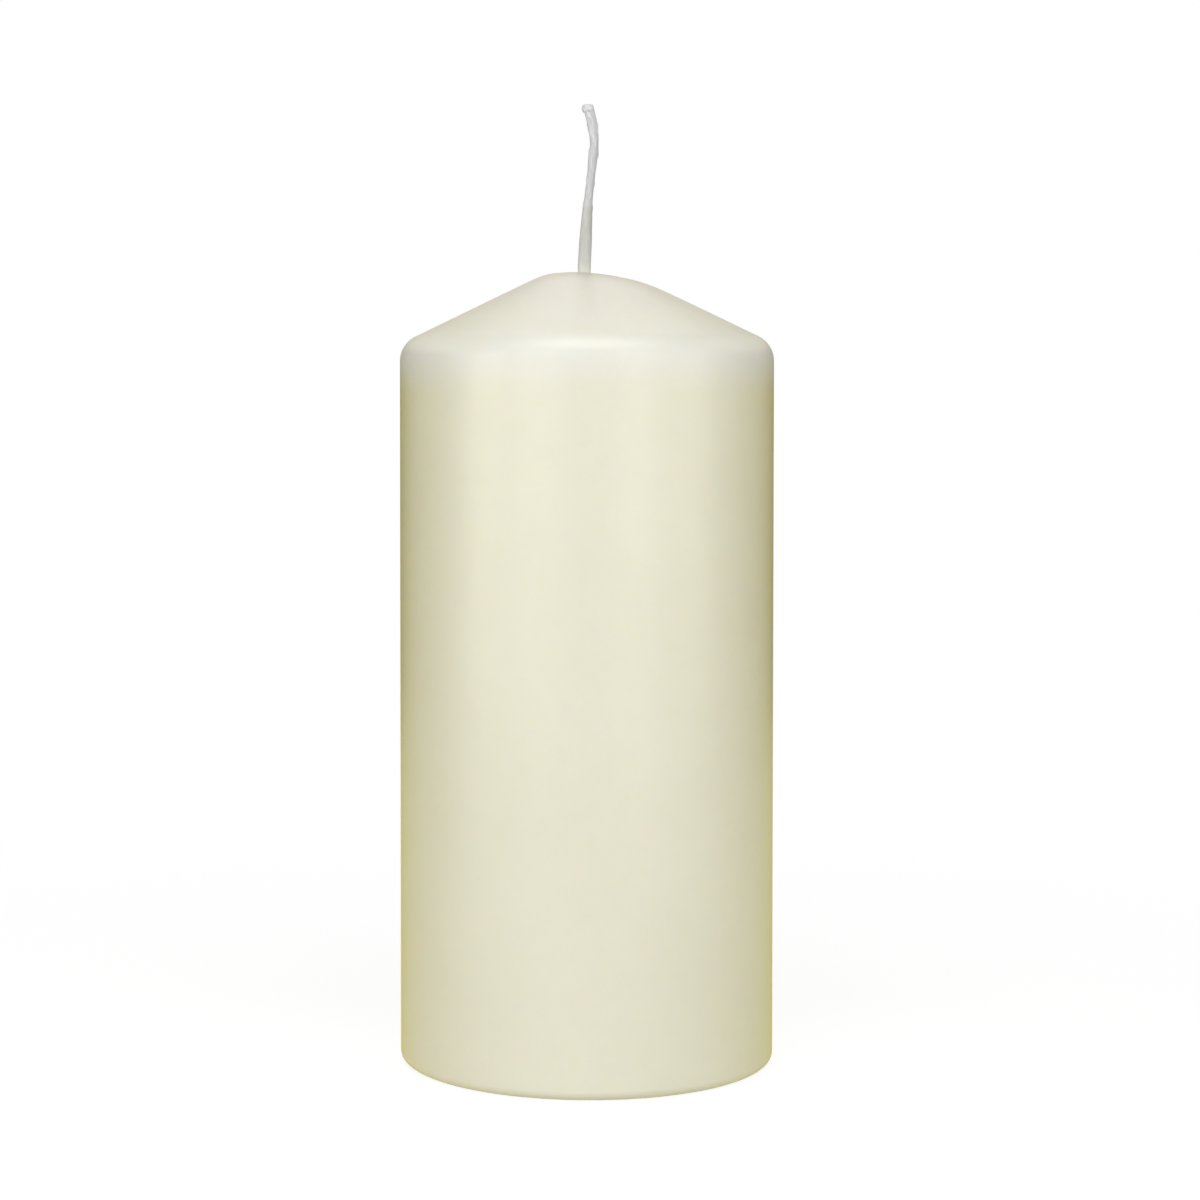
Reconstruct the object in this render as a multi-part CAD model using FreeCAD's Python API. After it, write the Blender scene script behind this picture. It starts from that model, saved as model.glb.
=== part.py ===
import FreeCAD, Part
import math
import os

# Ivory pillar candle with a low cone-shaped top, a flat-braided wick and a tinplate wick clip.
# The origin is the centre of the base, +Z is up and the front of the candle faces -Y.
# All sizes are in millimetres and all angles in degrees.

# Wax body
body_diameter = 70.0
wall_height = 134.2  # up to the sharp corner where the wall would meet the cone
top_slope = 26.0  # of the cone, above the horizontal
shoulder_radius = 5.0
cap_radius = 31.0  # of the ball-shaped cap that ends the cone
land_diameter = 5.0  # of the small flat on the cap, round the wick
base_edge_radius = 1.8

# Shallow recess pressed into the underside, so that the candle stands on a rim
rim_width = 9.0
recess_depth = 2.0
recess_draft = 45.0  # of the recess wall, away from the vertical

# Wick: three strands in a flat plait
braid_width = 2.25
braid_thickness = 1.55
strand_diameter = 0.95
braid_pitch = 9.0  # in which one strand swings out to both edges and back
valley_fill = 0.92  # how full of wax the valleys are, as a share of the braid's oval
wick_root_offset = -0.28  # towards +X, from the candle's axis

# The lowest part of the free wick wears a coat of wax that hides most of the plait
coat_thickness = 0.1
coat_height = 12.0
coat_end_length = 1.5  # over which the coat thins out
coat_relief = 0.15  # how much of the plait still shows through it

# The bends of the free wick. Each station gives its height above the wax, how far it
# stands towards +X and +Y from the candle's axis, and how far the flat braid is turned.
wick_stations = [
    (0.0, wick_root_offset, 0.00, 0.0),
    (4.9, -0.06, 0.10, 12.0),
    (9.7, 0.20, 0.22, 32.0),
    (14.2, 0.57, 0.34, 56.0),
    (17.9, 0.98, 0.40, 66.0),
    (21.1, 1.32, 0.38, 54.0),
    (24.0, 1.60, 0.26, 58.0),
    (27.0, 1.35, 0.12, 46.0),
    (29.2, 0.98, 0.02, 36.0),
]
tip_lean = -0.25  # of the last station towards +X, for each mm of height

# Small flattened ball of wax on the cut end of the wick
knob_diameter = 2.4
knob_height = 1.8
knob_distance = 1.6  # from the last station up to the middle of the knob
knob_offset = 0.40  # towards +X, from the candle's axis
knob_rises = [-0.5, 0.0, 0.4, 0.7, 0.9, 0.98]  # its rings, in shares of its half height

# Wick clip: a stamped disc with a neck that is crimped round the wick
clip_diameter = 16.0
sheet_thickness = 0.3
neck_height = 5.0
neck_flare = 0.8  # how far the neck widens where it is drawn out of the disc
neck_flare_height = 1.2

# Clearances, all round
wick_clearance = 0.05
clip_clearance = 0.1

# How finely the wick is drawn
rings_per_pitch = 18
points_per_ring = 18

# Heights and radii that follow from the sizes above
z_axis = FreeCAD.Vector(0, 0, 1)
body_radius = body_diameter / 2
slope = math.radians(top_slope)
sharp_tip = wall_height + body_radius * math.tan(slope)
cap_centre = sharp_tip - cap_radius / math.cos(slope)
land_angle = math.asin(land_diameter / 2 / cap_radius)
body_height = cap_centre + cap_radius * math.cos(land_angle)
recess_mouth_radius = body_radius - rim_width
recess_floor_radius = recess_mouth_radius - recess_depth * math.tan(math.radians(recess_draft))
clip_underside = recess_depth - sheet_thickness
coated_width = braid_width + 2 * coat_thickness
coated_thickness = braid_thickness + 2 * coat_thickness
control_spread = 3 / (2 + math.cos(math.tau / points_per_ring))
wick_room_width = coated_width + 2 * wick_clearance
wick_room_thickness = coated_thickness + 2 * wick_clearance


def at_radius(radius, height):
    return FreeCAD.Vector(radius, 0, height)


def on_cap(angle):
    """The point of the ball-shaped cap at an angle from its top."""
    return at_radius(cap_radius * math.sin(angle), cap_centre + cap_radius * math.cos(angle))


def line(start, end):
    return Part.LineSegment(start, end).toShape()


def rounded_corner(before, corner, after, radius):
    """The start and end of a round corner, and the arc between them."""
    back = (before - corner).normalize()
    ahead = (after - corner).normalize()
    half_angle = back.getAngle(ahead) / 2
    reach = radius / math.tan(half_angle)
    start = corner + back * reach
    end = corner + ahead * reach
    inward = (back + ahead).normalize()
    halfway = corner + inward * (radius / math.sin(half_angle) - radius)
    return start, end, Part.Arc(start, halfway, end).toShape()


def upright_oval(height, width, thickness):
    """A level oval round the foot of the wick, with its width along X."""
    centre = FreeCAD.Vector(wick_root_offset, 0, height)
    ellipse = Part.Ellipse(centre, width / 2, thickness / 2)
    return Part.Wire(ellipse.toShape())


def upright_column(low, high, width, thickness):
    face = Part.Face(upright_oval(low, width, thickness))
    return face.extrude(z_axis * (high - low))


def neck_form(foot, extra):
    """The outside of the clip's neck as a solid, larger all round by the extra."""
    wall = 2 * sheet_thickness + 2 * extra
    stations = [
        (foot, neck_flare),
        (recess_depth + neck_flare_height, 0.0),
        (recess_depth + neck_height + extra, 0.0),
    ]
    ovals = [
        upright_oval(
            height,
            wick_room_width + wall + 2 * flare,
            wick_room_thickness + wall + 2 * flare,
        )
        for height, flare in stations
    ]
    return Part.makeLoft(ovals, True, True)


def make_wax_body():
    """The turned form of the wax, less the room for the wick and for the clip's neck."""
    recess_centre = at_radius(0, recess_depth)
    recess_floor_edge = at_radius(recess_floor_radius, recess_depth)
    recess_mouth = at_radius(recess_mouth_radius, 0)
    base_corner = at_radius(body_radius, 0)
    shoulder = at_radius(body_radius, wall_height)
    land_centre = at_radius(0, body_height)
    cone_end = on_cap(slope)
    land_edge = on_cap(land_angle)

    rim_end, wall_start, base_arc = rounded_corner(
        recess_mouth, base_corner, shoulder, base_edge_radius
    )
    wall_end, cone_start, shoulder_arc = rounded_corner(
        base_corner, shoulder, cone_end, shoulder_radius
    )

    outline = Part.Wire(
        [
            line(recess_centre, recess_floor_edge),
            line(recess_floor_edge, recess_mouth),
            line(recess_mouth, rim_end),
            base_arc,
            line(wall_start, wall_end),
            shoulder_arc,
            line(cone_start, cone_end),
            Part.Arc(cone_end, on_cap((slope + land_angle) / 2), land_edge).toShape(),
            line(land_edge, land_centre),
            line(land_centre, recess_centre),
        ]
    )
    turned = Part.Face(outline).revolve(FreeCAD.Vector(0, 0, 0), z_axis, 360)
    wick_room = upright_column(0, sharp_tip, wick_room_width, wick_room_thickness)
    return turned.cut([wick_room, neck_form(recess_depth, clip_clearance)])


def oval_reach(width, thickness, angle):
    """The distance from the centre of an oval to its edge, in one direction."""
    return 1 / math.hypot(2 * math.cos(angle) / width, 2 * math.sin(angle) / thickness)


def plait_reach(phase, angle):
    """The distance from the centre of the braid to its outside, in one direction."""
    strand_radius = strand_diameter / 2
    swing = braid_width / 2 - strand_radius
    lift = braid_thickness / 2 - strand_radius
    reach = valley_fill * oval_reach(braid_width, braid_thickness, angle)
    for strand in range(3):
        own_phase = phase + strand * math.tau / 3
        across = swing * math.sin(own_phase)
        out = lift * math.sin(2 * own_phase)
        along_ray = across * math.cos(angle) + out * math.sin(angle)
        off_ray = out * math.cos(angle) - across * math.sin(angle)
        inside = max(strand_radius**2 - off_ray**2, 0)
        reach = max(reach, along_ray + math.sqrt(inside))
    return reach


def smooth_step(value, start, end):
    share = min(max((value - start) / (end - start), 0), 1)
    return share * share * (3 - 2 * share)


def ring(centre, direction, turn, reach_at):
    """One ring of control points, square to a direction, at a reach that varies round it."""
    tilt = FreeCAD.Rotation(z_axis, direction)
    points = []
    for number in range(points_per_ring):
        angle = math.tau * number / points_per_ring
        reach = control_spread * reach_at(angle)
        around = angle + math.radians(turn)
        flat = FreeCAD.Vector(reach * math.cos(around), reach * math.sin(around), 0)
        points.append(centre + tilt.multVec(flat))
    return points


def free_rings():
    """The wick above the wax: the plait, along its bends and turns."""
    heights = [station[0] for station in wick_stations]
    centre_line = Part.BSplineCurve()
    centre_line.interpolate(
        Points=[FreeCAD.Vector(x, y, body_height + height) for height, x, y, turn in wick_stations],
        Parameters=heights,
        InitialTangent=z_axis,
        FinalTangent=FreeCAD.Vector(tip_lean, 0, 1),
    )
    turning = Part.BSplineCurve()
    turning.interpolate(
        Points=[FreeCAD.Vector(turn, 0, height) for height, x, y, turn in wick_stations],
        Parameters=heights,
    )
    count = math.ceil(rings_per_pitch * heights[-1] / braid_pitch)
    rings = []
    for number in range(count + 1):
        height = heights[-1] * number / count
        coat_end = smooth_step(height, coat_height - coat_end_length, coat_height)
        relief = coat_relief * smooth_step(height, 0, coat_end_length)
        relief += (1 - coat_relief) * coat_end
        coat = coat_thickness * (1 - coat_end)
        phase = math.tau * height / braid_pitch

        def reach_at(angle):
            smooth = oval_reach(braid_width + 2 * coat, braid_thickness + 2 * coat, angle)
            plaited = plait_reach(phase, angle) + coat
            return smooth + relief * (plaited - smooth)

        centre = centre_line.value(height)
        direction = centre_line.tangent(height)[0]
        rings.append(ring(centre, direction, turning.value(height).x, reach_at))
    return rings


def knob_rings():
    """The flattened ball of wax that the end of the wick runs into."""
    middle = body_height + wick_stations[-1][0] + knob_distance
    rings = []
    for rise in knob_rises:
        radius = knob_diameter / 2 * math.sqrt(1 - rise * rise)
        centre = FreeCAD.Vector(knob_offset, 0, middle + rise * knob_height / 2)
        rings.append(ring(centre, z_axis, wick_stations[-1][3], lambda angle: radius))
    return rings


def skin_over(rings):
    """A smooth cubic surface with the rings as its control points, closed all round."""
    degree = 3
    knots_along = list(range(len(rings) - degree + 1))
    knots_round = list(range(points_per_ring + 1))
    repeats_along = [degree + 1] + [1] * (len(knots_along) - 2) + [degree + 1]
    repeats_round = [1] * len(knots_round)
    skin = Part.BSplineSurface()
    skin.buildFromPolesMultsKnots(
        rings,
        repeats_along,
        repeats_round,
        knots_along,
        knots_round,
        False,
        True,
        degree,
        degree,
    )
    return skin.toShape()


def make_wick():
    """The whole wick: a smooth skin round its free part, and a straight part in the wax."""
    free_side = skin_over(free_rings() + knob_rings())
    closed_edges = [edge for edge in free_side.Edges if edge.isClosed()]
    root_edge, top_edge = sorted(closed_edges, key=lambda edge: edge.CenterOfMass.z)
    down_to_foot = z_axis * (clip_underside - body_height)
    root = Part.Wire(root_edge)
    held_side = root.extrude(down_to_foot)
    foot = root.copy()
    foot.translate(down_to_foot)
    ends = [Part.Face(foot), Part.Face(Part.Wire(top_edge))]
    shell = Part.makeShell([free_side] + held_side.Faces + ends)
    shell.sewShape()
    wick = Part.makeSolid(shell)
    if wick.Volume < 0:
        wick.reverse()
    return wick


def make_wick_clip():
    """The stamped disc and its drawn neck, open for the wick."""
    disc = Part.makeCylinder(
        clip_diameter / 2, sheet_thickness, FreeCAD.Vector(0, 0, clip_underside)
    )
    bore = upright_column(0, recess_depth + neck_height, wick_room_width, wick_room_thickness)
    return disc.fuse(neck_form(clip_underside, 0.0)).cut(bore)


def save(name, shape):
    shape = shape.removeSplitter()
    if not shape.isValid():
        raise ValueError(name + " is not a valid solid")
    shape.exportStep(os.path.join("parts", name + ".step"))
    print(name, "solids", len(shape.Solids), "volume", round(shape.Volume, 2))


os.makedirs("parts", exist_ok=True)
save("wax_body", make_wax_body())
save("wick", make_wick())
save("wick_clip", make_wick_clip())
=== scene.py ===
import math

import bmesh
import bpy
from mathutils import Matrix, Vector


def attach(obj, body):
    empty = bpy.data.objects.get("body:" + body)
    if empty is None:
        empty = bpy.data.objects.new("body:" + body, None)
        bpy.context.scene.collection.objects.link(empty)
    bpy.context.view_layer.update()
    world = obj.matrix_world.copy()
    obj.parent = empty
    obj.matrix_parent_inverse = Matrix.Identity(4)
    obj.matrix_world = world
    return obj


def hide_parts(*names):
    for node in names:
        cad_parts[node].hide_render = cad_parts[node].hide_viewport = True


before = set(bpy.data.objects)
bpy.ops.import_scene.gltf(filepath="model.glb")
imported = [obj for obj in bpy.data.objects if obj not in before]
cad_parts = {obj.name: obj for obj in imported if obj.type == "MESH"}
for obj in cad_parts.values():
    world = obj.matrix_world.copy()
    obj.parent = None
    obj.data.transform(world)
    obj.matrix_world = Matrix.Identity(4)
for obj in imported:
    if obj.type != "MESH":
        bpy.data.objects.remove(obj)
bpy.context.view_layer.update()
print("candle frame loaded")

mm = 0.001

# the wax as it set in its mould, in millimetres and degrees
waxForm = {
    "bodyRadius": 35.0,
    "wallHeight": 134.2,  # up to the sharp corner of wall and cone
    "topSlope": 26.0,
    "shoulderRadius": 5.0,
    "capRadius": 31.0,
    "landRadius": 2.5,  # the small flat round the wick
    "baseEdgeRadius": 1.8,
    "rimWidth": 9.0,
    "recessDepth": 2.0,
    "recessEdgeRadius": 0.5,
    # the bead of wax round the disc of the clip: radius where it starts, then its steps in X and Z
    "beadRadius": 9.4,
    "bead": [(-0.35, -0.06), (-0.35, -0.17), (-0.25, -0.05), (-0.2, 0.06), (-0.12, 0.22)],
    # the room for the neck of the clip: X half, Y half, height above the disc
    "neckMouth": 3.0,  # the radius at which it opens
    "neckRoom": [(2.475, 2.125, 0), (1.675, 1.325, 1.2), (1.675, 1.325, 5.1)],
    "channelGap": 0.05,
    "channelHeights": [30, 60, 90, 120],
    "channelEnd": 6.0,  # below the crown; closed from there up
    # the dome on the cone leans down towards +X, and is flatter on that side
    "domeReach": 20.0,
    "domeDrop": 0.0825,
    "domeLean": 0.0694,
    "domeCurve": 0.0125,
    "domeUneven": 0.002,
    "domeSoft": 0.6,  # how softly it runs into the cone
    # the climb of wax at the wick: gap to the wick, height above the crown
    "climb": [(0.6, 0.0), (0.35, 0.02), (0.16, 0.07), (0.05, 0.14), (0.0, 0.24), (-0.3, 0.28)],
    # faces round the candle, and along each stretch of its outline
    "turns": 256,
    "capSteps": 36,
    "coneSteps": 24,
    "shoulderSteps": 16,
    "wallSteps": 60,
    "baseEdgeSteps": 10,
    "rimSteps": 6,
    "recessEdgeSteps": 5,
    "recessSteps": 3,
    "floorSteps": 8,
    "ceilingSteps": 4,
    "smoothAngle": 40,  # flatter edges than this are shaded smooth
}

# the flat plait, its coat of wax and its knob; heights are above the wax, along the wick
wickForm = {
    "width": 2.3,
    "thickness": 1.62,
    "strands": 3,
    "strandDiameter": 0.95,
    "pitch": 15.0,
    "lead": 2.2,  # height at which a strand crosses the middle
    "yarnsPerStrand": 5,
    "yarnDiameter": 0.36,
    "yarnPitch": 8.0,
    "yarnPoints": 70,
    "core": 0.92,  # wax between the strands, as a share of the plait's oval
    "coreCuts": 40,
    "rootOffset": -0.48,  # X where the wick leaves the wax
    "footOffset": -0.28,  # X in the neck of the clip
    "coat": 0.07,
    "coatHeight": 12.4,
    "coatEnd": 3.2,  # the length over which it thins out
    "coatTaper": 0.04,
    "coatSteps": 4,
    "coatCuts": 16,
    "rodSides": 40,
    "freeLength": 30.4,
    "knobMiddle": 30.65,
    "knobAside": 0.2,
    "knobDiameter": 2.15,
    "knobHeight": 1.5,
    "knobLean": -12,
    "knobSides": 24,
    "knobEdge": 0.5,
    "knobEdgeSteps": 4,
    "knobUneven": 0.07,
    "sunk": 1.2,  # how far down in the wax the plait is still drawn
    "trim": 0.3,  # cut off its sunk end
    "voxel": 0.07,
    "smoothTimes": 4,
    "smoothAngle": 60,
    "grooveDepth": 0.15,  # as a share of the plait's oval
    "heldDepth": 3.0,  # straight down into the wax
    "held": [(100, 0.07), (50, 0.07), (20, 0.06)],  # height above the table, and step aside
    "foot": 1.7,  # height of the wick's lower end above the table
    # where the free wick passes: height above the wax, X, Y, and how far the plait is turned
    "path": [
        (-1.2, -0.48, 0.00, 0),
        (0.0, -0.48, 0.00, 0),
        (4.9, -0.27, 0.10, 16),
        (9.7, 0.00, 0.22, 49),
        (14.2, 0.37, 0.34, 66),
        (17.9, 0.78, 0.40, 78),
        (21.1, 1.12, 0.38, 54),
        (24.0, 1.40, 0.26, 64),
        (27.0, 1.15, 0.12, 42),
        (29.2, 0.70, 0.02, 31),
        (31.2, 0.20, 0.00, 31),
    ],
}

slope = math.radians(waxForm["topSlope"])
sharpTip = waxForm["wallHeight"] + waxForm["bodyRadius"] * math.tan(slope)
capCentre = sharpTip - waxForm["capRadius"] / math.cos(slope)
landAngle = math.asin(waxForm["landRadius"] / waxForm["capRadius"])
waxTop = capCentre + waxForm["capRadius"] * math.cos(landAngle)


# modelling helpers


def deselectAll():
    bpy.ops.object.select_all(action="DESELECT")


def pick(piece):
    deselectAll()
    piece.select_set(True)
    bpy.context.view_layer.objects.active = piece


def editMode(piece):
    pick(piece)
    bpy.ops.object.mode_set(mode="EDIT")


def objectMode():
    bpy.ops.object.mode_set(mode="OBJECT")


def pickWhere(piece, kind, test):
    mesh = bmesh.from_edit_mesh(piece.data)
    bpy.ops.mesh.select_all(action="DESELECT")
    bpy.ops.mesh.select_mode(type=kind)
    parts = {"VERT": mesh.verts, "EDGE": mesh.edges, "FACE": mesh.faces}[kind]
    for part in parts:
        if test(part):
            part.select = True
    mesh.select_flush_mode()
    bmesh.update_edit_mesh(piece.data)


def applyModifier(piece, kind, **settings):
    pick(piece)
    modifier = piece.modifiers.new(kind, kind)
    for name, setting in settings.items():
        setattr(modifier, name, setting)
    bpy.ops.object.modifier_apply(modifier=modifier.name)


def settle(piece):  # place and scale go into the mesh
    pick(piece)
    bpy.ops.object.transform_apply(location=True, rotation=True, scale=True)


# camera, a little below the shoulder and tipped slightly down, in millimetres and degrees

cameraSetup = {
    "distance": 478.7,  # from the candle's axis
    "left": 10.0,
    "height": 113.8,
    "pitch": 1.675,  # downwards
    "lens": 76.41,
    "shiftX": 0.0555,
    "shiftY": -0.06,
}

cameraData = bpy.data.cameras.new("camera")
cameraData.lens = cameraSetup["lens"]
cameraData.sensor_width = 36
cameraData.shift_x = cameraSetup["shiftX"]
cameraData.shift_y = cameraSetup["shiftY"]
cameraData.clip_start = 0.01
camera = bpy.data.objects.new("camera", cameraData)
camera.location = (
    -cameraSetup["left"] * mm,
    -cameraSetup["distance"] * mm,
    cameraSetup["height"] * mm,
)
camera.rotation_euler = (math.radians(90 - cameraSetup["pitch"]), 0, 0)
bpy.context.scene.collection.objects.link(camera)
bpy.context.scene.camera = camera
print("camera set")


# wax body: half an outline, drawn with extrusions and arcs, then spun


def startOutline(name, x, z):
    deselectAll()
    bpy.ops.mesh.primitive_plane_add(size=mm, location=(x * mm, 0, z * mm))
    piece = bpy.context.object
    piece.name = piece.data.name = name
    settle(piece)
    editMode(piece)
    bpy.ops.mesh.select_all(action="SELECT")
    bpy.ops.mesh.merge(type="CENTER")
    return piece


def runBy(x, z, steps=1):
    for step in range(steps):
        bpy.ops.mesh.extrude_vertices_move(
            TRANSFORM_OT_translate={"value": (x * mm / steps, 0, z * mm / steps)}
        )


def arcBy(degrees, centreX, centreZ, steps):  # clockwise, seen from the front
    bpy.ops.mesh.spin(
        steps=steps,
        angle=math.radians(degrees),
        center=(centreX * mm, 0, centreZ * mm),
        axis=(0, -1, 0),
    )


def ringTo(oval, halfX, halfY, centreX, z):  # from one oval, X half, Y half, centre, height
    bpy.ops.mesh.extrude_edges_move(TRANSFORM_OT_translate={"value": (0, 0, 0)})
    bpy.ops.transform.resize(
        value=(halfX / oval[0], halfY / oval[1], 1),
        center_override=(oval[2] * mm, 0, oval[3] * mm),
    )
    bpy.ops.transform.translate(value=((centreX - oval[2]) * mm, 0, (z - oval[3]) * mm))
    return halfX, halfY, centreX, z


def makeWax():
    form = waxForm
    radius = form["bodyRadius"]
    shoulder = form["shoulderRadius"]
    edge = form["baseEdgeRadius"]
    soft = form["recessEdgeRadius"]
    depth = form["recessDepth"]
    mouth = radius - form["rimWidth"]
    floorRadius = mouth - depth
    coneStartX = form["capRadius"] * math.sin(slope)
    coneStartZ = capCentre + form["capRadius"] * math.cos(slope)
    turn = math.pi / 2 - slope  # from the cone round to the wall
    cut = shoulder * math.tan(turn / 2)
    coneEndX = radius - cut * math.cos(slope)
    coneEndZ = form["wallHeight"] + cut * math.sin(slope)
    wallEndZ = form["wallHeight"] - cut

    wax = startOutline("waxBody", form["landRadius"], waxTop)
    arcBy(math.degrees(slope - landAngle), 0, capCentre, form["capSteps"])
    runBy(coneEndX - coneStartX, coneEndZ - coneStartZ, form["coneSteps"])
    arcBy(math.degrees(turn), radius - shoulder, wallEndZ, form["shoulderSteps"])
    runBy(0, edge - wallEndZ, form["wallSteps"])
    arcBy(90, radius - edge, edge, form["baseEdgeSteps"])
    # the rim, then a recess that slopes in at 45 degrees, with softened corners
    bend = soft * math.tan(math.radians(45) / 2)
    slant = depth - 2 * bend * math.sin(math.radians(45))
    runBy(mouth + bend - (radius - edge), 0, form["rimSteps"])
    arcBy(45, mouth + bend, soft, form["recessEdgeSteps"])
    runBy(-slant, slant, form["recessSteps"])
    arcBy(-45, floorRadius - bend, depth - soft, form["recessEdgeSteps"])
    runBy(form["beadRadius"] - (floorRadius - bend), 0, form["floorSteps"])
    for x, z in form["bead"]:
        runBy(x, z)
    beadEnd = form["beadRadius"] + sum(x for x, z in form["bead"])
    runBy(form["neckMouth"] - beadEnd, 0, form["ceilingSteps"])  # above the disc

    bpy.ops.mesh.select_all(action="SELECT")
    bpy.ops.mesh.spin(steps=form["turns"], angle=math.tau, center=(0, 0, 0), axis=(0, 0, 1))
    bpy.ops.mesh.select_all(action="SELECT")
    bpy.ops.mesh.remove_doubles(threshold=1e-7)

    # the crown as the wax set: the lower of the cone and of a dome that leans to one side
    mesh = bmesh.from_edit_mesh(wax.data)
    for vertex in mesh.verts:
        x, y, z = vertex.co / mm
        reach = math.hypot(x, y)
        if z > wallEndZ and reach < form["domeReach"]:
            cone = sharpTip - reach * math.tan(slope)
            curve = form["domeCurve"] - form["domeUneven"] * x / reach
            dome = waxTop - form["domeDrop"] - form["domeLean"] * x - curve * reach * reach
            share = min(max(0.5 + 0.5 * (dome - cone) / form["domeSoft"], 0), 1)
            lower = dome + (cone - dome) * share - form["domeSoft"] * share * (1 - share)
            vertex.co.z = lower * mm
    bmesh.update_edit_mesh(wax.data)

    # the way of the wick: a small climb of wax round it, then down
    root = wickForm["rootOffset"]
    footX = wickForm["footOffset"]
    halfX = wickForm["width"] / 2 + wickForm["coat"]
    halfY = wickForm["thickness"] / 2 + wickForm["coat"]
    pickWhere(wax, "EDGE", lambda e: e.is_boundary and e.verts[0].co.z > waxTop / 2 * mm)
    oval = (form["landRadius"], form["landRadius"], 0, waxTop)
    for gap, rise in form["climb"]:
        oval = ringTo(oval, halfX + gap, halfY + gap, root, waxTop + rise)
    bpy.ops.mesh.edge_face_add()  # closed inside the wick
    # the room for the neck of the clip, and the channel above it
    pickWhere(wax, "EDGE", lambda e: e.is_boundary)
    oval = (form["neckMouth"], form["neckMouth"], 0, depth)
    for neckX, neckY, rise in form["neckRoom"]:
        oval = ringTo(oval, neckX, neckY, footX, depth + rise)
    halfX += form["channelGap"]
    halfY += form["channelGap"]
    for z in [oval[3], *form["channelHeights"], waxTop - form["channelEnd"]]:
        oval = ringTo(oval, halfX, halfY, footX + (root - footX) * z / waxTop, z)
    bpy.ops.mesh.edge_face_add()
    bpy.ops.mesh.select_all(action="SELECT")
    bpy.ops.mesh.normals_make_consistent(inside=False)
    objectMode()
    pick(wax)
    bpy.ops.object.shade_smooth_by_angle(angle=math.radians(form["smoothAngle"]))
    return wax


wax = makeWax()
print("wax body modelled", len(wax.data.polygons), "faces")


# wick: yarns in three plaited strands, a core and a coat of wax, drawn straight and then bent


def plaitPoint(height, strand, yarn):
    form = wickForm
    radius = form["strandDiameter"] / 2
    phase = math.tau * ((height - form["lead"]) / form["pitch"] + strand / form["strands"])
    turn = math.tau * (height / form["yarnPitch"] + yarn / form["yarnsPerStrand"])
    off = radius - form["yarnDiameter"] / 2
    across = (form["width"] / 2 - radius) * math.sin(phase) + off * math.cos(turn)
    out = (form["thickness"] / 2 - radius) * math.sin(2 * phase) + off * math.sin(turn)
    return Vector((across, out, height + form["sunk"])) * mm


def makeYarns():
    form = wickForm
    data = bpy.data.curves.new("yarns", "CURVE")
    data.dimensions = "3D"
    data.bevel_depth = form["yarnDiameter"] / 2 * mm
    data.bevel_resolution = 2
    data.use_fill_caps = True
    steps = form["yarnPoints"] - 1
    length = form["freeLength"] + form["sunk"]
    for strand in range(form["strands"]):
        for yarn in range(form["yarnsPerStrand"]):
            spline = data.splines.new("NURBS")
            spline.points.add(steps)
            for number, point in enumerate(spline.points):
                height = length * number / steps - form["sunk"]
                point.co = (*plaitPoint(height, strand, yarn), 1)
            spline.order_u = 3
            spline.use_endpoint_u = True
            spline.resolution_u = 2
    yarns = bpy.data.objects.new("yarns", data)
    bpy.context.scene.collection.objects.link(yarns)
    pick(yarns)
    bpy.ops.object.convert(target="MESH")
    return bpy.context.object


def ovalRod(name, halfX, halfY, length, cuts):
    deselectAll()
    bpy.ops.mesh.primitive_cylinder_add(
        vertices=wickForm["rodSides"],
        radius=mm,
        depth=length * mm,
        location=(0, 0, length / 2 * mm),
    )
    rod = bpy.context.object
    rod.name = name
    rod.scale = (halfX, halfY, 1)
    settle(rod)
    editMode(rod)
    half = length / 2 * mm
    pickWhere(rod, "EDGE", lambda e: abs(e.verts[0].co.z - e.verts[1].co.z) > half)
    bpy.ops.mesh.subdivide(number_cuts=cuts)
    return rod


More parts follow.
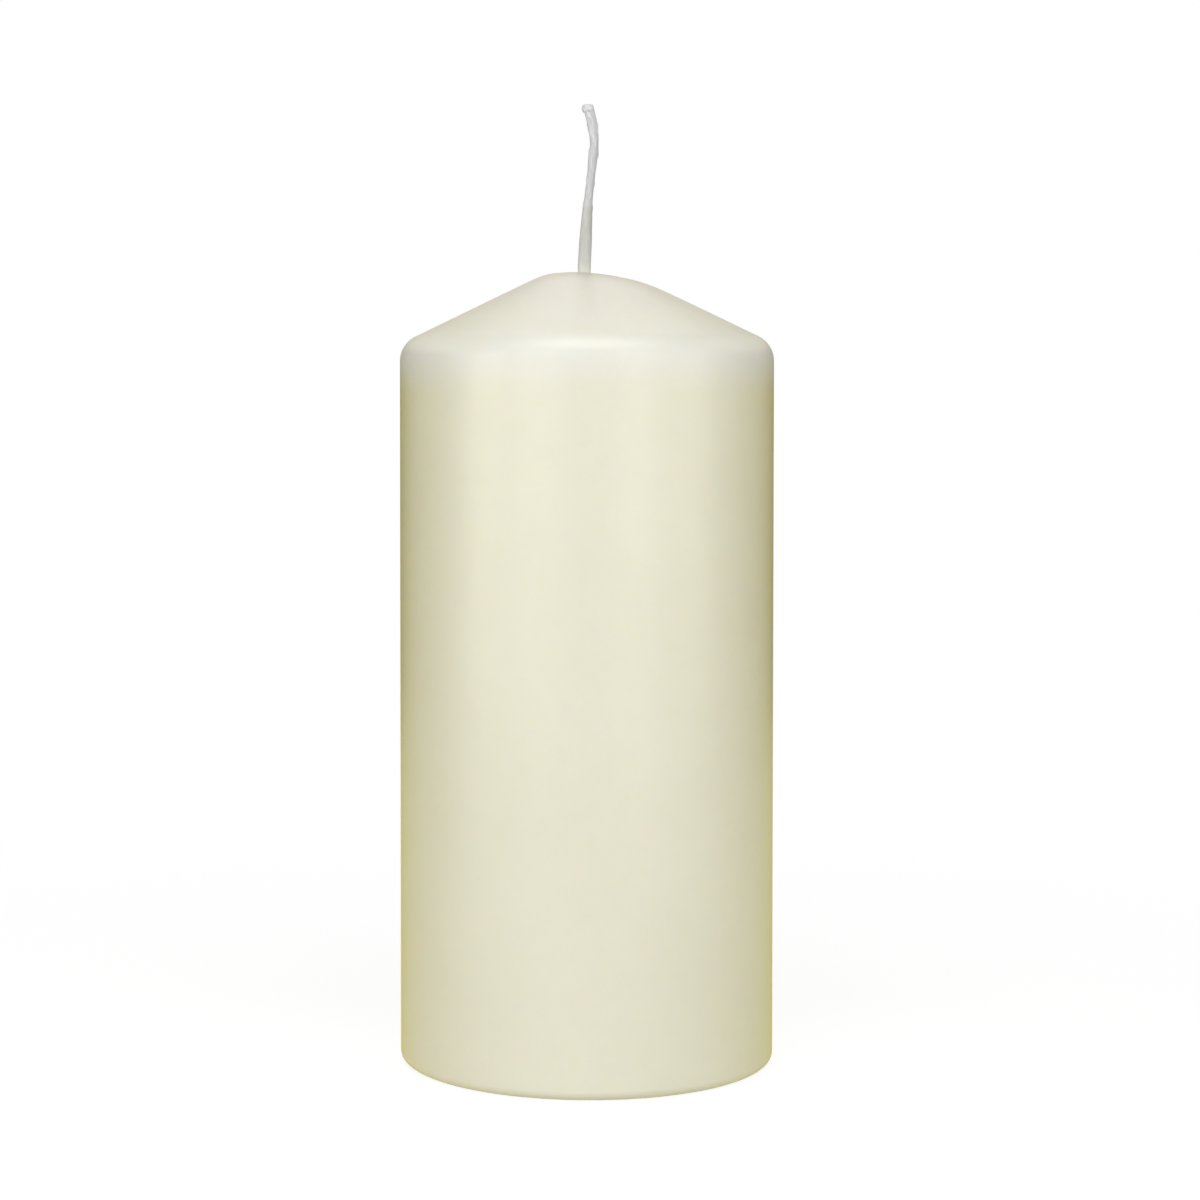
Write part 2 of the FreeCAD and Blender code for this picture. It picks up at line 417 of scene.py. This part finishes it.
def makeWick():
    form = wickForm
    halfX, halfY = form["width"] / 2, form["thickness"] / 2
    sunk = form["sunk"]
    parts = [makeYarns()]
    share = form["core"]
    length = form["freeLength"] + sunk
    core = ovalRod("core", halfX * share, halfY * share, length, form["coreCuts"])
    objectMode()
    parts.append(core)

    straight = form["coatHeight"] - form["coatEnd"] + sunk
    coatX, coatY = halfX + form["coat"], halfY + form["coat"]
    coat = ovalRod("coat", coatX, coatY, straight, form["coatCuts"])
    pickWhere(coat, "FACE", lambda f: f.normal.z > 0.9)
    steps = form["coatSteps"]
    for step in range(steps):
        shrink = 1 - form["coatTaper"] * (step + 1) / steps
        bpy.ops.mesh.extrude_region_move(
            TRANSFORM_OT_translate={"value": (0, 0, form["coatEnd"] / steps * mm)}
        )
        bpy.ops.transform.resize(value=(shrink, shrink, 1), center_override=(0, 0, 0))
    objectMode()
    parts.append(coat)

    deselectAll()
    bpy.ops.mesh.primitive_cylinder_add(
        vertices=form["knobSides"],
        radius=form["knobDiameter"] / 2 * mm,
        depth=form["knobHeight"] * mm,
        location=(form["knobAside"] * mm, 0, (form["knobMiddle"] + sunk) * mm),
        rotation=(0, math.radians(form["knobLean"]), 0),
    )
    knob = bpy.context.object
    settle(knob)
    editMode(knob)
    bpy.ops.mesh.select_all(action="SELECT")
    bpy.ops.mesh.bevel(offset=form["knobEdge"] * mm, segments=form["knobEdgeSteps"])
    bpy.ops.mesh.select_all(action="SELECT")
    bpy.ops.transform.vertex_random(offset=form["knobUneven"] * mm, seed=4)
    objectMode()
    parts.append(knob)

    pick(parts[0])
    for part in parts:
        part.select_set(True)
    bpy.ops.object.join()
    wick = bpy.context.object
    wick.name = wick.data.name = "plaitedWick"
    applyModifier(wick, "REMESH", mode="VOXEL", voxel_size=form["voxel"] * mm)
    applyModifier(wick, "SMOOTH", factor=0.5, iterations=form["smoothTimes"])

    # what the material follows: the place on the straight plait, and how deep in a groove, where
    # it paints shade
    wick.data.attributes.new("plaitPlace", "FLOAT_VECTOR", "POINT")
    wick.data.attributes.new("paintedGrooveShade", "FLOAT", "POINT")
    place = wick.data.attributes["plaitPlace"].data
    paintedGrooveShade = wick.data.attributes["paintedGrooveShade"].data
    for number, vertex in enumerate(wick.data.vertices):
        x, y, z = vertex.co / mm
        place[number].vector = (x * mm, y * mm, (z - sunk) * mm)
        reach = math.hypot(x / halfX, y / halfY)
        paintedGrooveShade[number].value = min(max((1 - reach) / form["grooveDepth"], 0), 1)

    # bend it along its path, in the place where it stands
    pathData = bpy.data.curves.new("wickPath", "CURVE")
    pathData.dimensions = "3D"
    pathData.twist_mode = "MINIMUM"
    pathData.resolution_u = 24
    spline = pathData.splines.new("BEZIER")
    spline.bezier_points.add(len(form["path"]) - 1)
    for point, (height, x, y, turn) in zip(spline.bezier_points, form["path"]):
        point.co = Vector((x, y, waxTop + height)) * mm
        point.handle_left_type = point.handle_right_type = "AUTO"
        point.tilt = math.radians(turn)
    path = bpy.data.objects.new("wickPath", pathData)
    bpy.context.scene.collection.objects.link(path)
    pick(wick)
    climb = (form["path"][-1][0] + sunk) * mm  # the path is a little longer than it is high
    wick.scale.z = spline.calc_length() / climb
    settle(wick)
    applyModifier(wick, "CURVE", object=path, deform_axis="POS_Z")
    bpy.data.objects.remove(path)

    # the part that the wax holds, straight down to the foot
    editMode(wick)
    bpy.ops.mesh.select_all(action="SELECT")
    cutHeight = (waxTop - sunk + form["trim"]) * mm
    bpy.ops.mesh.bisect(plane_co=(0, 0, cutHeight), plane_no=(0, 0, -1), clear_outer=True)
    pickWhere(wick, "EDGE", lambda e: e.is_boundary)
    for z, aside in [(waxTop - form["heldDepth"], 0), *form["held"], (form["foot"], 0)]:
        bpy.ops.mesh.extrude_edges_move(TRANSFORM_OT_translate={"value": (aside * mm, 0, 0)})
        bpy.ops.transform.resize(value=(1, 1, 0), center_override=(0, 0, z * mm))
    bpy.ops.mesh.edge_face_add()
    bpy.ops.mesh.select_all(action="SELECT")
    bpy.ops.mesh.normals_make_consistent(inside=False)
    objectMode()
    pick(wick)
    bpy.ops.object.shade_smooth_by_angle(angle=math.radians(form["smoothAngle"]))
    return wick


wick = makeWick()
print("wick modelled", len(wick.data.polygons), "faces")


# shader maths


class Shade:
    def __init__(self, tree, socket=None):
        self.tree = tree
        self.socket = socket

    def node(self, kind, settings={}, sockets={}, outlet=0):
        made = self.tree.nodes.new("ShaderNode" + kind)
        for name, setting in settings.items():
            setattr(made, name, setting)
        for name, given in sockets.items():
            if isinstance(given, Shade):
                self.tree.links.new(given.socket, made.inputs[name])
            else:
                made.inputs[name].default_value = given
        return Shade(self.tree, made.outputs[outlet] if made.outputs else None)

    def maths(self, operation, first, second):
        return self.node("Math", {"operation": operation}, {0: first, 1: second})

    def __add__(self, other):
        return self.maths("ADD", self, other)

    def __sub__(self, other):
        return self.maths("SUBTRACT", self, other)

    def __rsub__(self, other):
        return self.maths("SUBTRACT", other, self)

    def __mul__(self, other):
        return self.maths("MULTIPLY", self, other)

    __radd__ = __add__
    __rmul__ = __mul__

    def larger(self, other):
        return self.maths("MAXIMUM", self, other)

    def step(self, low, high):  # 0 below low, 1 above high, smooth between
        sockets = {"Value": self, "From Min": low, "From Max": high}
        return self.node("MapRange", {"interpolation_type": "SMOOTHSTEP"}, sockets)

    def noise(self, scale, detail=2.0, rough=0.5):  # of a vector
        sockets = {"Vector": self, "Scale": scale, "Detail": detail, "Roughness": rough}
        return self.node("TexNoise", {}, sockets)

    def stretched(self, scale):  # of a vector
        return self.node("Mapping", {}, {"Vector": self, "Scale": scale})

    def mix(self, first, second):  # the share of the second colour
        return self.node("Mix", {"data_type": "RGBA"}, {0: self, 6: first, 7: second}, 2)

    def times(self, other):  # of two colours
        settings = {"data_type": "RGBA", "blend_type": "MULTIPLY"}
        return self.node("Mix", settings, {0: 1.0, 6: self, 7: other}, 2)

    def bump(self, distance, under=None):
        sockets = {"Height": self, "Distance": distance, "Strength": 1.0}
        if under:
            sockets["Normal"] = under
        return self.node("Bump", {}, sockets)


def startMaterial(name):
    material = bpy.data.materials.new(name)
    material.use_nodes = True
    material.node_tree.nodes.clear()
    return material, Shade(material.node_tree)


def dress(piece, material):
    piece.data.materials.clear()
    piece.data.materials.append(material)


# ivory wax: a smooth skin that looks yellower where it is seen edge on, with a painted highlight
# that makes the crown paler and painted shade at its top

waxLook = {
    "colour": (0.848, 0.848, 0.814, 1),
    "mottle": (0.829, 0.826, 0.78, 1),
    "skin": (0.968, 0.945, 0.805, 1),  # tint of the thin outer skin
    "paintedHighlightFrom": 0.1235,  # heights in metres between which the skin's tint is taken off towards the crown, a painted highlight for the light that whitens it
    "paintedHighlightTo": 0.1325,
    "paintedHighlight": 0.62,  # how much of the skin is taken off there for the painted highlight
    "topFrom": 0.1365,  # and between which the crown is made a little pinker and darker, the darkening a painted shade at its top
    "topTo": 0.1475,
    "topShade": (0.97, 0.945, 0.99, 1),
    "roughness": 0.33,
    "roughnessMottle": 0.06,
    "roughnessGrain": 0.05,
    "ior": 1.5,
    "skinIor": 1.02,
    "skinRoughness": 0.5,
    "cloudScale": 38,  # noise scales, from broad to fine
    "rippleScale": 75,
    "mottleScale": 260,
    "grainScale": 2600,
    "rippleDepth": 0.00012,
    "grainDepth": 0.00003,
    "scatter": 0.3,  # light that enters the wax and leaves it again
    "scatterReach": 0.003,
    "scatterColour": (1.0, 0.75, 0.4),
}


def makeWaxMaterial():
    look = waxLook
    material, start = startMaterial("ivoryWax")
    place = start.node("TexCoord", outlet=3)
    height = start.node("SeparateXYZ", {}, {"Vector": place}, 2)
    # the skin taken off towards the crown: a painted highlight
    paintedHighlight = height.step(look["paintedHighlightFrom"], look["paintedHighlightTo"])
    clouds = place.noise(look["cloudScale"])
    mottle = place.noise(look["mottleScale"], 3, 0.6)
    grain = place.noise(look["grainScale"])
    patches = clouds.step(0.35, 0.7) * 0.55 + mottle.step(0.4, 0.75) * 0.45
    colour = patches.mix(look["colour"], look["mottle"])
    # the crown's top made a little pinker, and darker as painted shade
    shade = height.step(look["topFrom"], look["topTo"]).mix((1, 1, 1, 1), look["topShade"])
    colour = colour.times(shade)
    uneven = look["roughnessMottle"] * mottle + look["roughnessGrain"] * grain
    ripple = place.noise(look["rippleScale"], 1).bump(look["rippleDepth"])
    normal = (mottle * 0.75 + grain * 0.25).bump(look["grainDepth"], ripple)
    surface = start.node(
        "BsdfPrincipled",
        {},
        {
            "Base Color": colour,
            "Roughness": look["roughness"] + uneven,
            "Normal": normal,
            "Coat Weight": 1 - look["paintedHighlight"] * paintedHighlight,
            "Coat IOR": look["skinIor"],
            "Coat Roughness": look["skinRoughness"],
            "Coat Tint": look["skin"],
            "IOR": look["ior"],
            "Subsurface Weight": look["scatter"],
            "Subsurface Radius": look["scatterColour"],
            "Subsurface Scale": look["scatterReach"],
        },
    )
    start.node("OutputMaterial", {}, {"Surface": surface})
    return material


# waxed cotton: grey-white yarn with lengthwise streaks, a creamy coat low down, and painted shade
# in the grooves of the plait

wickLook = {
    "cotton": (0.69, 0.69, 0.69, 1),
    # the darker cotton and coat serve for streaks and smears, and as painted shade in the grooves
    "cottonDarkAndShade": (0.51, 0.51, 0.51, 1),
    "fresh": (0.79, 0.79, 0.79, 1),  # the cotton near the cut end
    "coat": (0.57, 0.57, 0.525, 1),
    "coatDarkAndShade": (0.46, 0.465, 0.42, 1),
    "root": (0.66, 0.655, 0.59, 1),  # where the coat runs out over the wax
    "knob": (0.7, 0.7, 0.695, 1),
    # heights in millimetres between which one look gives way to the next, the first of them
    # counted from coatHeight
    "coatFade": (-0.7, 0.3),
    "rootFade": (0.2, 3.0),
    "freshFade": (18.0, 30.0),
    "knobFade": 0.7,  # up from where the plait ends
    "roughness": 0.55,
    "coatGloss": 0.12,  # how much less rough the coat is
    "streakRoughness": 0.1,
    "smearScale": 900,
    "streakScale": 4200,
    "fibreScale": 14000,
    "fibreDepth": 0.00004,
    "ior": 1.44,
    "scatter": 0.15,
    "scatterReach": 0.0006,
    "scatterColour": (1.0, 0.85, 0.6),
}


def makeWickMaterial():
    look = wickLook
    form = wickForm
    material, start = startMaterial("waxedCotton")
    place = start.node("Attribute", {"attribute_name": "plaitPlace"}, {}, 1)
    paintedGrooveShade = start.node("Attribute", {"attribute_name": "paintedGrooveShade"}, {}, 2)
    along = start.node("SeparateXYZ", {}, {"Vector": place}, 2)

    def between(start, end):
        return along.step(start * mm, end * mm)

    bareFrom, bareTo = look["coatFade"]
    bare = between(form["coatHeight"] + bareFrom, form["coatHeight"] + bareTo)
    tip = between(form["freeLength"], form["freeLength"] + look["knobFade"])
    streaks = place.stretched((1, 1, 0.12)).noise(look["streakScale"], 3, 0.6)
    fibres = place.stretched((1, 1, 0.3)).noise(look["fibreScale"])
    smears = place.stretched((1, 1, 0.5)).noise(look["smearScale"])
    fresh = between(*look["freshFade"]).mix(look["cotton"], look["fresh"])
    # painted shade in the grooves of the plait, with the cotton's own streaks
    streaksAndGrooveShade = paintedGrooveShade * 0.55 + streaks.step(0.4, 0.7) * 0.45
    cotton = streaksAndGrooveShade.mix(fresh, look["cottonDarkAndShade"])
    # the coat's own smears, with painted shade in the grooves
    smearsAndGrooveShade = smears.step(0.35, 0.75) * 0.6 + paintedGrooveShade * 0.4
    smeared = smearsAndGrooveShade.mix(look["coat"], look["coatDarkAndShade"])
    coat = between(*look["rootFade"]).mix(look["root"], smeared)
    colour = tip.mix(bare.mix(coat, cotton), look["knob"])
    roughness = look["roughness"] - look["coatGloss"] * (1 - bare)
    relief = streaks * 0.6 + fibres * 0.4 * bare
    surface = start.node(
        "BsdfPrincipled",
        {},
        {
            "Base Color": colour,
            "Roughness": roughness + look["streakRoughness"] * streaks,
            "Normal": relief.bump(look["fibreDepth"]),
            "IOR": look["ior"],
            "Subsurface Weight": look["scatter"],
            "Subsurface Radius": look["scatterColour"],
            "Subsurface Scale": look["scatterReach"],
        },
    )
    start.node("OutputMaterial", {}, {"Surface": surface})
    return material


# tinplate: rolled sheet with fine lines one way and rings from the drawing of the neck

clipLook = {
    "tin": (0.66, 0.66, 0.64, 1),
    "tinDull": (0.5, 0.5, 0.49, 1),
    "roughness": 0.28,
    "spangleRoughness": 0.18,
    "rolledRoughness": 0.06,
    "spangleScale": 700,
    "rolledScale": 9000,
    "ringScale": 260,
    "relief": 0.00001,
}


def makeClipMaterial():
    look = clipLook
    material, start = startMaterial("tinplate")
    place = start.node("TexCoord", outlet=3)
    rolled = place.stretched((1, 0.04, 1)).noise(look["rolledScale"])
    spangle = place.noise(look["spangleScale"], 3)
    rings = start.node(
        "TexWave",
        {"wave_type": "RINGS", "rings_direction": "Z"},
        {"Vector": place, "Scale": look["ringScale"], "Distortion": 1.5, "Detail": 1.0},
    )
    dull = spangle.step(0.35, 0.7) * 0.7 + rolled * 0.3
    uneven = look["spangleRoughness"] * spangle + look["rolledRoughness"] * rolled
    surface = start.node(
        "BsdfPrincipled",
        {},
        {
            "Base Color": dull.mix(look["tin"], look["tinDull"]),
            "Metallic": 1.0,
            "Roughness": look["roughness"] + uneven,
            "Normal": (rolled * 0.5 + rings * 0.5).bump(look["relief"]),
        },
    )
    start.node("OutputMaterial", {}, {"Surface": surface})
    return material


dress(wax, makeWaxMaterial())
dress(wick, makeWickMaterial())
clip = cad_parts["wick_clip"]
tinplate = makeClipMaterial()
for clipSlot in clip.material_slots:
    clipSlot.material = tinplate
print("materials made")


# studio: four low lamps in front, one above them and one behind, three that only show in the
# gloss of the crown and shoulder, and dark cards that only show in the gloss of the edges

studio = {
    # azimuth from the front towards +X and elevation in degrees; distance, width and height in
    # metres; power; whether it lights the surfaces; and whether it shows in their gloss
    "lamps": {
        "leftLamp": (-65, 5, 1.0, 0.4, 0.3, 2.45, True, True),
        "frontLeftLamp": (-30, 5, 1.0, 0.4, 0.3, 1.95, True, True),
        "frontRightLamp": (30, 5, 1.0, 0.4, 0.3, 2.25, True, True),
        "rightLamp": (65, 5, 1.0, 0.4, 0.3, 1.75, True, True),
        "topLamp": (0, 60, 1.0, 0.8, 0.6, 3.8, True, False),
        "backLamp": (180, 5, 1.5, 0.4, 0.3, 12.0, True, False),
        "crownGloss": (180, 52, 1.0, 0.7, 0.4, 1.4, False, True),
        "overheadGloss": (180, 80, 1.0, 0.9, 0.8, 2.8, False, True),
        "shoulderGloss": (0, 50, 1.0, 1.2, 0.5, 5.5, False, True),
    },
    "lampAim": 0.08,  # height that they all point at
    "fill": 0.12,  # light of the surroundings on the object
    "cardsFrom": 70,  # azimuths between which the cards stand
    "cardsTo": 290,
    "cards": 8,
    "cardDistance": 0.6,
    "cardHeight": 0.28,
    "cardOverlap": 1.02,
    "cardColour": (0.02, 0.02, 0.02, 1),
    "floorSize": 4.0,
    "floorGap": 0.0001,  # just clear of the rim
    "floorColour": (0.35, 0.35, 0.35, 1),  # as it lights the object
    "floorGlow": 0.2,
    "floorNear": 0.08,  # distances from the candle between which its look changes
    "floorFar": 0.3,
    "floorSeen": 0.3,  # as it is seen near the candle, where it takes the shadow
    "floorSeenGlow": (0.83, 1.0),  # near, and far
}


def directionTo(azimuth, elevation):
    azimuth, elevation = math.radians(azimuth), math.radians(elevation)
    return Vector(
        (
            math.sin(azimuth) * math.cos(elevation),
            -math.cos(azimuth) * math.cos(elevation),
            math.sin(elevation),
        )
    )


def hangLamps():
    for name, setup in studio["lamps"].items():
        azimuth, elevation, distance, width, height, power, lights, shows = setup
        data = bpy.data.lights.new(name, "AREA")
        data.shape = "RECTANGLE"
        data.size, data.size_y = width, height
        data.energy = power
        lamp = bpy.data.objects.new(name, data)
        away = directionTo(azimuth, elevation)
        lamp.location = Vector((0, 0, studio["lampAim"])) + away * distance
        lamp.rotation_euler = (-away).to_track_quat("-Z", "Y").to_euler()
        lamp.visible_camera = False
        lamp.visible_diffuse = lights
        lamp.visible_glossy = shows
        bpy.context.scene.collection.objects.link(lamp)


def standCards():
    material, start = startMaterial("darkCard")
    diffuse = start.node("BsdfDiffuse", {}, {"Color": studio["cardColour"]})
    start.node("OutputMaterial", {}, {"Surface": diffuse})
    step = (studio["cardsTo"] - studio["cardsFrom"]) / studio["cards"]
    distance = studio["cardDistance"]
    height = studio["cardHeight"]
    for number in range(studio["cards"]):
        azimuth = studio["cardsFrom"] + step * (number + 0.5)
        deselectAll()
        bpy.ops.mesh.primitive_plane_add(
            size=1,
            location=directionTo(azimuth, 0) * distance + Vector((0, 0, height / 2)),
            rotation=(math.radians(90), 0, math.radians(azimuth)),
        )
        card = bpy.context.object
        card.name = "card" + str(number + 1)
        half = distance * math.tan(math.radians(step / 2))
        card.scale = (2 * half * studio["cardOverlap"], height, 1)
        settle(card)
        dress(card, material)
        card.visible_camera = False  # they only show in the gloss of the edges
        card.visible_diffuse = False
        card.visible_shadow = False


def seenRay(start):  # what the camera, a gloss or a glass looks at
    camera = start.node("LightPath", {}, {}, "Is Camera Ray")
    glossy = start.node("LightPath", {}, {}, "Is Glossy Ray")
    through = start.node("LightPath", {}, {}, "Is Transmission Ray")
    return camera.larger(glossy).larger(through)


def layFloor():
    deselectAll()
    bpy.ops.mesh.primitive_plane_add(
        size=studio["floorSize"], location=(0, 0, -studio["floorGap"])
    )
    floor = bpy.context.object
    floor.name = "floor"
    settle(floor)
    material, start = startMaterial("paleFloor")

    def greyAndGlow(colour, strength):
        grey = start.node("BsdfDiffuse", {}, {"Color": colour})
        glow = start.node("Emission", {}, {"Strength": strength})
        return start.node("AddShader", {}, {0: grey, 1: glow})

    place = start.node("TexCoord", outlet=3)
    reach = start.node("VectorMath", {"operation": "LENGTH"}, {0: place}, "Value")
    far = reach.step(studio["floorNear"], studio["floorFar"])
    near, distant = studio["floorSeenGlow"]
    seen = greyAndGlow(studio["floorSeen"] * (1 - far), near + (distant - near) * far)
    unseen = greyAndGlow(studio["floorColour"], studio["floorGlow"])
    top = start.node("MixShader", {}, {0: seenRay(start), 1: unseen, 2: seen})
    below = start.node("NewGeometry", {}, {}, "Backfacing")
    clear = start.node("BsdfTransparent")
    surface = start.node("MixShader", {}, {0: below, 1: top, 2: clear})
    start.node("OutputMaterial", {}, {"Surface": surface})
    dress(floor, material)


def lightWorld():
    world = bpy.data.worlds.new("studio")
    bpy.context.scene.world = world
    world.use_nodes = True
    world.node_tree.nodes.clear()
    start = Shade(world.node_tree)
    white = (1, 1, 1, 1)
    fill = start.node("Background", {}, {"Color": white, "Strength": studio["fill"]})
    seen = start.node("Background", {}, {"Color": white, "Strength": 1.0})
    both = start.node("MixShader", {}, {0: seenRay(start), 1: fill, 2: seen})
    start.node("OutputWorld", {}, {"Surface": both})


hangLamps()
standCards()
layFloor()
lightWorld()
bpy.context.scene.view_settings.view_transform = "Standard"
print("studio set")

for piece, node, slot in [(wax, "wax_body", "ivory_wax"), (wick, "wick", "waxed_cotton")]:
    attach(piece, "root")
    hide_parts(node)
